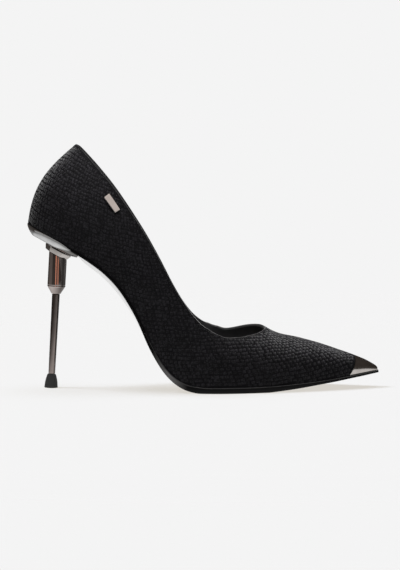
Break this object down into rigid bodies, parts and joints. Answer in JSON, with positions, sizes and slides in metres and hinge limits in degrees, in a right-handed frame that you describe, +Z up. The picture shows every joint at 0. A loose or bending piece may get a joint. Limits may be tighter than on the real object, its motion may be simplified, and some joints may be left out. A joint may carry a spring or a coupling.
{
  "type": "high heel shoe",
  "caption": "Pointed court shoe on a tall slim heel: hollow lasted upper with an open throat, metal toe cap, thin arched sole and a turned metal pin heel on a hexagonal plate.",
  "frame": {"origin": "on the floor under the middle of the forefoot tread", "axes": "+X to the toe, +Y to the inner side of the foot, +Z up"},
  "size_m": [0.224, 0.0744, 0.1544],
  "materials": {
    "upper_leather": "embossed with small scales, matt",
    "sole_gloss": "high gloss",
    "insole_leather": "smooth, matt",
    "gunmetal": "dark, polished",
    "rubber": "matt"
  },
  "bodies": {
    "root": {"upper": "upper_leather", "toe_cap": "gunmetal", "outsole": "sole_gloss", "insole": "insole_leather", "heel_cup": "gunmetal", "heel_nut": "gunmetal", "heel_barrel": "gunmetal", "heel_rod": "gunmetal", "heel_tip": "rubber", "side_plate": "gunmetal"}
  },
  "joints": []
}
